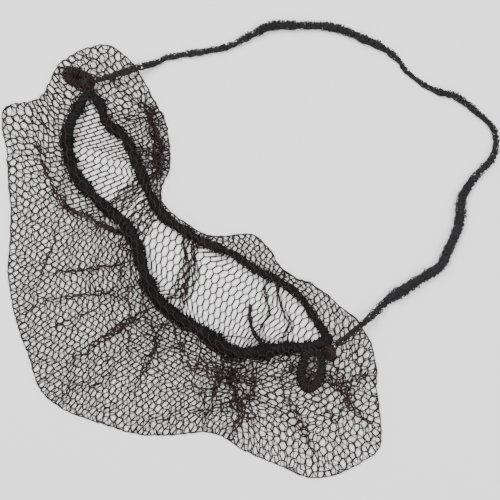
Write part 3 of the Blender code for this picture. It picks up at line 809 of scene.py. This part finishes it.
off_mouth = ease((from_rim + MOUTH_FROM) / MOUTH_OVER)
drawn, rise = creased(plan, LOWER_CREASES)
drifting = calm * (PRESSED + (1 - PRESSED) * off_mouth)
plan = plan + drawn * calm[:, None] + drift(plan, 70) * drifting[:, None]
low_z = 1.2 * STRAND + FOLD_RISE * lift + PRESSED * rise
low_z += LOW_SWELL * (1 + rolling(plan, 12 * MM, 4))
lower_spots = np.column_stack((plan, low_z))
crumpled = lift > RUMPLED_FROM
lower_spots[crumpled, :2] += np.random.default_rng(6).normal(0, RUMPLE, (int(crumpled.sum()), 2))
print("lower panel:", len(kept_lower), "knots")

# %% [markdown]
# ## Laying the upper panel
# The upper panel rises from the outline and reaches the band, where its last rows wrap over the elastic
# as a hem. Near the band it has slid together, so more of it lies there than the room would hold.

# %% Lay the upper panel
UPPER_Z = 2.4 * MM
HEM = 9.5 * MM  # how much of the panel wraps over the elastic
OVER_BAND = 0.5 * MM  # how far the hem's threads lie above the elastic
MOST_GATHERED, GATHERED_SHARE = 7 * MM, 0.30  # how much cloth has slid together by the band, at most
GATHER_FADE = 1.6  # over how many times that much the gathering fades
CALM_BY_BAND, SWELL = 5 * MM, 0.5 * MM  # where creases fade by the band, and how high the cloth swells
STRAIGHT = 2 * MM  # nearer to the band than this, cloth lies straight out from it
EDGE_CURVE, BAND_CURVE = 2.5 * MM, 9 * MM  # how far the panel takes to rise from the outline and to the band
flat_upper = flat_panel(UPPER_TURN)
plan = unslid(flat_upper, True)
ray, away = nearest(plan, HOLD)
away = np.where(inside_line(plan, HOLD), -away, away)
gathered = np.minimum(MOST_GATHERED, GATHERED_SHARE * at_ray(WIDTH, ray))
kept_upper = np.flatnonzero(inside_line(plan, EDGE) & (away > -gathered - HEM))
plan, ray, away, gathered = (values[kept_upper] for values in (plan, ray, away, gathered))
laid_away = np.maximum(away, 0)
for _ in range(30):
    laid_away += 0.5 * (away + gathered * np.exp(-laid_away / (GATHER_FADE * gathered)) - laid_away)
on_hem = away < -gathered
outward = at_ray(RIM_OUT, ray)
plan = at_ray(HOLD, ray) + (plan - at_ray(HOLD, ray)) * (laid_away / np.where(away == 0, 1, away))[:, None]
straight = at_ray(HOLD, ray) + outward * laid_away[:, None]
plan = np.where((away < STRAIGHT)[:, None], straight, plan)
to_edge = nearest(plan, EDGE)[1]
off_edge = ease(to_edge / EDGE_CALM)
calm = off_edge * ease(laid_away / CALM_BY_BAND)
drawn, rise = creased(plan, SEEN_CREASES)
drawn_small, rise_small = creased(plan, SMALL_CREASES)
plan = plan + (drawn + drift(plan, 50)) * calm[:, None] + drawn_small * off_edge[:, None]
z = STRAND + (UPPER_Z - STRAND) * (1 - np.exp(-to_edge / EDGE_CURVE))
z += (BAND_Z - UPPER_Z) * np.exp(-laid_away / BAND_CURVE)
z += (rise + rise_small + SWELL * rolling(plan, 16 * MM, 3)) * calm
wrap = at_ray(BAND, ray) + OVER_BAND
angle = np.maximum(0, -gathered - away) / wrap
over = at_ray(RIM, ray) + outward * (wrap * np.cos(angle))[:, None]
plan = np.where(on_hem[:, None], over, plan)
z = np.where(on_hem, BAND_Z + wrap * np.sin(angle), z)
upper_spots = np.column_stack((plan, z))
print("upper panel:", len(kept_upper), "knots,", int(on_hem.sum()), "on the hem")

# %% [markdown]
# ## Which threads there are
# Each row of knots is one zigzag thread, and short threads join the rows. Where the mouth is only a cell
# wide, at its ends, a few threads would bridge it once the hem is wrapped, so those are taken out. Knots
# with a thread to spare near the outline, of both panels, are put on it and joined in turn, which closes
# the net in a fold.


# %% Threads from knot to knot
def panel_threads(kept, first):
    """Each knot's three neighbours by thread and six next ones, or the knot itself where there is none."""
    number = np.full(ROWS * COLUMNS, -1)
    number[kept] = np.arange(len(kept)) + first
    number = number.reshape(ROWS, COLUMNS)
    row, column = kept // COLUMNS, kept % COLUMNS
    own = np.arange(len(kept)) + first

    def on(row_step, column_step):
        r, c = row + row_step, column + column_step
        there = (r >= 0) & (r < ROWS) & (c >= 0) & (c < COLUMNS)
        found = number[np.clip(r, 0, ROWS - 1), np.clip(c, 0, COLUMNS - 1)]
        return np.where(there & (found >= 0), found, own)

    across = np.where((row + column) % 2 == 0, on(1, 0), on(-1, 0))
    threads = np.stack((on(0, -1), on(0, 1), across), 1)
    further = np.stack([on(*step) for step in ((0, -2), (0, 2), (-1, -1), (-1, 1), (1, -1), (1, 1))], 1)
    return number, threads, further


# %% The threads of both panels
lower_count = len(kept_lower)
lower_number, lower_threads, lower_next = panel_threads(kept_lower, 0)
upper_number, upper_threads, upper_next = panel_threads(kept_upper, lower_count)
THREADS, NEXT = np.concatenate((lower_threads, upper_threads)), np.concatenate((lower_next, upper_next))
knot_flat = np.concatenate((flat_lower[kept_lower], flat_upper[kept_upper]))
place = np.concatenate((lower_spots, upper_spots))
COUNT = len(place)
own = np.arange(COUNT)
is_upper = own >= lower_count
pinned = np.concatenate((np.zeros(lower_count, bool), on_hem))
ACROSS = 3 * THREAD  # two knots of the hem farther apart than this lie on different sides of the mouth
far_apart = sizes(place[THREADS] - place[:, None]) > ACROSS
bridging = far_apart & pinned[:, None] & pinned[THREADS]
THREADS = np.where(bridging, own[:, None], THREADS)
print("threads across the mouth, taken out:", int(bridging.sum()) // 2)

# %% Joins along the outline
from_edge = np.concatenate((nearest(lower_spots[:, :2], EDGE)[1], nearest(upper_spots[:, :2], EDGE)[1]))
JOIN_FROM = 4.5 * MM  # a knot nearer to the outline than this can be joined to the other panel
JOIN_WAVER, JOIN_REACH = 0.7 * MM, 2.5 * THREAD  # how far inside the outline, and apart, they may lie
JOIN_LOW, JOIN_HIGH = 1.4 * STRAND, 3.2 * STRAND  # how high those of the lower and the upper panel lie
spare = (THREADS == own[:, None]).any(1) & (from_edge < JOIN_FROM) & ~pinned


def joins():
    """Puts the spare knots on the outline, in turn round it, and returns the pairs that are neighbours."""
    loose = np.flatnonzero(spare)
    ray, _ = nearest(place[loose, :2], EDGE)
    loose, ray = loose[np.argsort(ray)], np.sort(ray)
    inward = np.random.default_rng(12).uniform(0, JOIN_WAVER, len(loose))
    place[loose, :2] = at_ray(EDGE, ray) - at_ray(EDGE_OUT, ray) * inward[:, None]
    place[loose, 2] = np.where(is_upper[loose], JOIN_HIGH, JOIN_LOW)
    pairs = np.column_stack((loose, np.roll(loose, -1)))
    reach = sizes(place[pairs[:, 1]] - place[pairs[:, 0]])
    return pairs[reach < JOIN_REACH]


JOINS = joins()
print("joins along the outline:", len(JOINS))

# %% [markdown]
# ## Letting the threads settle
# The mapping puts every knot near its place, but threads hardly stretch: each has its own length. First
# the knots are shaken a little, and more where the cloth has slid together, so that it crumples there.
# Rounds of small corrections then bring the lengths back. A thread past its give pulls its ends
# together, a short one pushes them apart only weakly, because a slack thread bends, and knots one
# further along push a little to keep the holes open. Knots of the hem stay on the band, and the others
# are held weakly to where they were laid.

# %% Shake the knots
# Every knot is shaken by STEADY, in millimetres. Outside the mouth, where it is neither on the hem nor
# joined, SHAKE comes on top, and SHAKE_SLACK times the share, up to MOST_SLACK, by which its threads
# span less than SLACK_BELOW of their length.
STEADY, SHAKE, SHAKE_SLACK, SLACK_BELOW, MOST_SLACK = 0.07, 0.17, 1.3, 0.85, 0.5
chance = np.random.default_rng(8)
there = THREADS != own[:, None]
spans = sizes(place[THREADS] - place[:, None]).sum(1) / there.sum(1).clip(1)
crumple = SHAKE + SHAKE_SLACK * np.clip(SLACK_BELOW - spans / THREAD, 0, MOST_SLACK)
rough = STEADY + crumple * np.concatenate((off_mouth, ~on_hem)) * ~spare
place = place + chance.normal(0, 1, place.shape) * rough[:, None] * MM
print("knots shaken, mm on average:", round(float(rough.mean()), 2))

# %% Relax the net
GIVE = 1.22  # a guess at how much a thread of fine yarn gives before it pulls
PULL, PUSH = 0.32, 0.05  # how much of what a thread is too long or too short is mended in a round
NEXT_PUSH, NEXT_PULL = 0.02, 0.01  # the same for knots one further along
JOIN_PULL, JOIN_REST = 0.2, 0.8  # the same for joins, which pull to this share of a thread
# How much of the way back to where it was laid a knot goes in a round, by where it is.
LOWER_HOLD, UPPER_HOLD, EDGE_HOLD, JOINED_HOLD, BY_EDGE = 0.05, 0.03, 0.12, 0.8, 4 * MM
LOWEST = 1.12 * STRAND  # a thread's middle can't go lower on the table
NEXT_REST = sizes(knot_flat[NEXT] - knot_flat[:, None])
hold = np.where(is_upper, UPPER_HOLD, LOWER_HOLD)
hold = np.where(from_edge < BY_EDGE, EDGE_HOLD, hold)
hold = np.where(spare, JOINED_HOLD, hold)
laid = place.copy()
floor_z = np.where(is_upper, 3 * STRAND, LOWEST)


def moved(links, rest, share):
    """How far a round moves each knot along its links. share says how much of the way for their lengths."""
    reach = place[links] - place[:, None]
    length = sizes(reach) + 1e-9
    gain = share(length) * (1 - rest / length)
    gain[links == own[:, None]] = 0
    return (gain[:, :, None] * reach).sum(1)


def thread_share(length):
    return np.where(length > THREAD, PULL * (length > GIVE * THREAD), PUSH)


def next_share(length):
    return np.where(length < NEXT_REST, NEXT_PUSH, NEXT_PULL)


for _ in range(200):
    step = moved(THREADS, THREAD, thread_share) + moved(NEXT, NEXT_REST, next_share)
    reach = place[JOINS[:, 1]] - place[JOINS[:, 0]]
    length = sizes(reach) + 1e-9
    pull = reach * (JOIN_PULL * np.maximum(0, 1 - JOIN_REST * THREAD / length))[:, None]
    np.add.at(step, JOINS[:, 0], pull)
    np.add.at(step, JOINS[:, 1], -pull)
    step += hold[:, None] * (laid - place)
    step[pinned] = 0
    place += step
    place[:, 2] = np.maximum(place[:, 2], floor_z)
ends = np.concatenate([THREADS[:, k][THREADS[:, k] > own] for k in range(3)])
starts = np.concatenate([own[THREADS[:, k] > own] for k in range(3)])
lengths = sizes(place[ends] - place[starts])
shares = np.percentile(lengths, (5, 50, 95, 100)) / MM
print("threads:", len(lengths), "with 5%, middle, 95% and longest, mm:", np.round(shares, 2))

# %% [markdown]
# ## Threads between the knots
# A thread that has less than its own length to span bows out sideways, so it gets a middle point, moved
# as far as its slack needs. The knots are a little thicker than the threads.

# %% The net in thread
SLACK = 0.86  # a thread that spans less than this share of its length bows out
BOW, BOW_FLATTER = 0.35, 0.4  # the share of its slack that it bows by, and how much less it rises


def bowed(start, end, chance):
    """The middle of a slack thread between two knots, moved aside by its slack, or nothing."""
    reach = end - start
    length = np.linalg.norm(reach)
    if length > SLACK * THREAD:
        return []
    slack = math.sqrt((THREAD / 2) ** 2 - (length / 2) ** 2)
    aside = np.cross(reach, chance.normal(0, 1, 3)) * (1, 1, BOW_FLATTER)
    middle = (start + end) / 2 + aside * (BOW * slack / (np.linalg.norm(aside) + 1e-12))
    middle[2] = max(middle[2], LOWEST)
    return [(middle, 0.94 * STRAND)]


KNOT_RADIUS = np.where(pinned, 0.85, 1.15) * STRAND  # stretched on the hem, a thread is thinner


def thread_through(numbers, chance):
    """One strand through knots, with the middles of its slack threads."""
    spots = [(place[numbers[0]], KNOT_RADIUS[numbers[0]])]
    for a, b in zip(numbers, numbers[1:]):
        middle = [] if pinned[a] and pinned[b] else bowed(place[a], place[b], chance)
        spots += middle + [(place[b], KNOT_RADIUS[b])]
    return np.array([spot for spot, _ in spots]), np.array([radius for _, radius in spots]), False


def net_strands():
    chance = np.random.default_rng(9)
    strands = []
    for row in np.concatenate((lower_number, upper_number)):
        linked = (row[:-1] >= 0) & (THREADS[row[:-1], 1] == row[1:])
        runs = np.split(row, np.flatnonzero(~linked) + 1)
        strands += [thread_through(run, chance) for run in runs if len(run) > 1]
    rising = np.flatnonzero(THREADS[:, 2] > own)
    strands += [thread_through((k, THREADS[k, 2]), chance) for k in rising]
    return strands + [(place[pair], np.full(2, 0.8 * STRAND), False) for pair in JOINS]


net = strands_piece("net", net_strands(), 4, net_nylon, "nylon_net", "net_pouch")
heights = [vertex.co.z / MM for vertex in net.data.vertices]
print("net lowest, highest, mm:", round(min(heights), 2), round(max(heights), 2))

# %% [markdown]
# ## The size of the net
# Cut open, the net is both panels side by side, and every knot stands for one brick of the pattern. That
# gives its true flat area. It would pass only with an area that isn't the cut's, so the sizes are just
# printed.

# %% Measure the net
def smallest_rectangle(points):
    """The sides of the smallest rectangle round points of the plane, the longer one first."""
    sides = []
    for degrees in range(90):
        ahead = compass(degrees)
        sides.append((np.ptp(points @ ahead), np.ptp(points @ (-ahead[1], ahead[0]))))
    return sorted(min(sides, key=np.prod), reverse=True)


panel_length, panel_width = smallest_rectangle(knot_flat[:lower_count])
cut_area = COUNT * MESH_PERIOD / 2 * ROW_STEP
bm = bmesh.new()
bm.from_mesh(net.data)
surface = sum(face.calc_area() for face in bm.faces)
bm.free()
print("net cut open, mm:", round(panel_length / MM), "by", round(2 * panel_width / MM))
print("flat area, m2:", round(cut_area, 4))
print("half the thread's surface over it:", round(surface / 2 / cut_area, 2))

# %% [markdown]
# ## Knots and tails
# At each end of the mouth the head loop is tied to the band in a small knot, with a closed loop of
# elastic left over. A knot is yarn wound round and round, so threads that circle an egg shape while
# their axis wanders make one. Gathered ends of the net are wound over the knots and loops.

# %% The two knots
KNOT_SIZE = np.array((8.4, 7.2, 6.6)) * MM
KNOT_LENGTH = KNOT_SIZE[0]
CLEARANCE = 0.3 * MM
KNOT_YARN, HEART_YARN = 0.45 * MM, 1.1 * MM
# heading leads from the band to the knot and tail_heading along its tail loop, whose length and width
# are shares of KNOT_LENGTH. The loop's middle is away from the knot's, towards a heading, and net_yarns
# is how many yarns of net wind along it.
Knot = namedtuple("Knot", "name row heading tail_heading tail_length tail_width towards away net_yarns")
KNOTS = (
    Knot("left", 0, 100, 156, 1.30, 0.68, 156, 7.0 * MM, 2),
    Knot("right", len(CHIN_ROWS), -75, -99, 2.45, 1.35, -136, 13.5 * MM, 1),
)
print("knots, mm:", np.round(KNOT_SIZE / MM, 1))

# %% Yarn wound round an egg shape
WIND_POINTS = 14
AXIS_TURN, AXIS_TILT = 0.381966, 0.13  # how far the axis turns and tilts in a ring, as shares of a turn


def wound_yarn(size, centre, heading, winds, radius, seed):
    """One thread wound round an egg shape, in rings whose axis wanders."""
    chance = np.random.default_rng(seed)
    t = np.linspace(0, winds, winds * WIND_POINTS)
    angle, axis = 2 * math.pi * t, 2 * math.pi * AXIS_TURN * t + uneven(chance, t, 0.5)
    tilt = 0.5 * math.pi * (1 + np.sin(2 * math.pi * AXIS_TILT * t))
    flat_way = np.stack((-np.sin(axis), np.cos(axis), 0 * t), axis=1)
    level = -np.cos(tilt)
    steep_way = np.stack((level * np.cos(axis), level * np.sin(axis), np.sin(tilt)), axis=1)
    ring = flat_way * np.cos(angle)[:, None] + steep_way * np.sin(angle)[:, None]
    points = ring * (np.array(size) / 2 - radius) * (1 + uneven(chance, t, 0.12))[:, None]
    ahead = compass(heading)
    laid = points[:, :1] * ahead + points[:, 1:2] * (-ahead[1], ahead[0])
    return np.column_stack((laid, points[:, 2])) + centre


# %% Knots, tail loops and the net wound over them
NET_WINDS = (
    Yarn(0.24, 0.00, 0.50, 0.46, 0.60, 1.10, 1, 0.0),
    Yarn(0.24, 0.00, 0.50, 0.46, 0.60, 1.40, -1, 2.0),
)
TAIL_WIDTH, TAIL_SWELL = 4.7 * MM, 0.2  # how thick the dressed tail loops are, and the share it varies by
HEART_SHARE, OVER_SHARE = 0.7, 1.08  # the sizes of a knot's heart and of the net over it, as shares of it
YARN_TURNS, HEART_TURNS, OVER_TURNS, LOOP_TURNS = 30, 8, 16, 6  # how many times each is wound round
over_threads = []
for k, knot in enumerate(KNOTS):
    section = sections[knot.row]
    centre = section[:2] - net_middle + compass(knot.heading) * (section[4] + CLEARANCE + KNOT_LENGTH / 2)
    lump_low, lump_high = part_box("knot_" + knot.name)
    lump = (*centre, (lump_low.z + lump_high.z) / 2)
    yarn = wound_yarn(KNOT_SIZE, lump, knot.heading, YARN_TURNS, KNOT_YARN, 60 + k)
    heart = wound_yarn(KNOT_SIZE * HEART_SHARE, lump, knot.heading, HEART_TURNS, HEART_YARN, 70 + k)
    tied = [(yarn, KNOT_YARN, False), (heart, HEART_YARN, False)]
    strands_piece("tied_knot_" + knot.name, tied, 6, elastic_painted_shade, "elastic_cord", "knot_" + knot.name)
    over_knot = wound_yarn(KNOT_SIZE * OVER_SHARE, lump, knot.heading, OVER_TURNS, STRAND, 80 + k)
    half_long, half_wide = knot.tail_length * KNOT_LENGTH / 2, knot.tail_width * KNOT_LENGTH / 2
    ahead = compass(knot.tail_heading)
    middle = centre + compass(knot.towards) * knot.away
    tail_low, tail_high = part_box("tail_loop_" + knot.name)
    angle = np.linspace(0, 2 * math.pi, 97)
    ring = middle + np.outer(half_long * np.cos(angle), ahead)
    ring = ring + np.outer(half_wide * np.sin(angle), (-ahead[1], ahead[0]))
    tail_z = np.full(len(angle), (tail_low.z + tail_high.z) / 2)
    ring = np.column_stack((ring, tail_z, TAIL_WIDTH * (1 + TAIL_SWELL * np.cos(angle))))
    ring = even(ring, 0.5 * MM)[:-1]
    tail_strands = elastic_strands(ring, True, 40 + k, BAND_YARNS)
    tail_node = "tail_loop_" + knot.name
    strands_piece("tail_elastic_" + knot.name, tail_strands, 6, elastic_painted_shade, "elastic_cord", tail_node)
    in_size = np.array((2.1 * half_long, 1.7 * half_wide, 2.4 * MM))
    in_loop = wound_yarn(in_size, (*middle, ring[0, 2]), knot.tail_heading, LOOP_TURNS, STRAND, 84 + k)
    over_threads.append((over_knot, STRAND, False))
    over_threads += elastic_strands(ring, True, 90 + k, NET_WINDS[: knot.net_yarns])
    over_threads.append((in_loop, STRAND, False))

NEAR_LEFT, NEAR_RIGHT = 76, 56  # points of the loop at each end that the net is gathered over
over_threads += elastic_strands(loop_line[:NEAR_LEFT], False, 95, NET_WINDS)
over_threads += elastic_strands(loop_line[-NEAR_RIGHT:], False, 96, NET_WINDS)
strands_piece("gathered_net_ends", over_threads, 4, net_nylon, "nylon_net")

# %% [markdown]
# ## Loose ends in the mouth
# A short end of elastic sticks up from the band into the mouth, and a fine thread beside it curves
# back to the band.

# %% The loose ends
END_ROWS = (
    (31.6, -23.0, 2.6, 0.55), (31.5, -27.4, 2.4, 0.75), (31.7, -32.0, 2.6, 0.85), (33.2, -37.4, 3.6, 0.9),
    (35.4, -41.0, 4.6, 1.2), (38.6, -44.0, 5.0, 1.6), (43.0, -46.6, 4.6, 1.7), (48.0, -48.4, 4.2, 1.5),
)
THREAD_ROWS = (
    (15.4, -41.6, 1.4, 0.25), (20.0, -40.9, 1.6, 0.25), (26.0, -41.2, 2.2, 0.25), (33.0, -42.4, 4.2, 0.25),
)
end_line = even(smooth(END_ROWS, 12) * MM, 0.4 * MM)
end_line[:, 3] *= 2  # the rows have the radius, and the yarns want a thickness
thread_line = even(smooth(THREAD_ROWS, 12) * MM, 0.6 * MM)
loose = elastic_strands(end_line, False, 33) + [(thread_line[:, :3], thread_line[:, 3], False)]
strands_piece("loose_ends", loose, 8, elastic_painted_shade, "elastic_cord")

# %% [markdown]
# ## The table and the light
# The net lies on a plain white table under broad, soft light, so its shadows are faint.

# %% The table
floor_mesh = bpy.data.meshes.new("floor")
bm = bmesh.new()
bmesh.ops.create_grid(bm, x_segments=1, y_segments=1, size=2)
bm.to_mesh(floor_mesh)
bm.free()
floor = in_scene("floor", floor_mesh)
white = bpy.data.materials.new("white_table")
white.use_nodes = True
table = white.node_tree.nodes["Principled BSDF"]
table.inputs["Base Color"].default_value = (0.93, 0.93, 0.93, 1)
table.inputs["Roughness"].default_value = 0.9
floor_mesh.materials.append(white)
print("table, m:", list(floor.dimensions.xy))

# %% World and lamps
world = bpy.data.worlds.new("studio")
world.use_nodes = True
sky = world.node_tree.nodes["Background"]
sky.inputs["Color"].default_value = (1, 1, 1, 1)
sky.inputs["Strength"].default_value = 0.8
bpy.context.scene.world = world


def soft_lamp(name, place, size, power):
    light = bpy.data.lights.new(name, "AREA")
    light.size = size
    light.energy = power
    lamp = in_scene(name, light)
    lamp.location = place
    lamp.rotation_euler = (VIEW_MIDDLE - Vector(place)).to_track_quat("-Z", "Y").to_euler()


soft_lamp("softbox", (-0.5, 0.6, 1.1), 0.9, 22)
soft_lamp("fill", (0.7, -0.3, 1.0), 0.9, 11)
print("lamps, W:", [light.energy for light in bpy.data.lights])
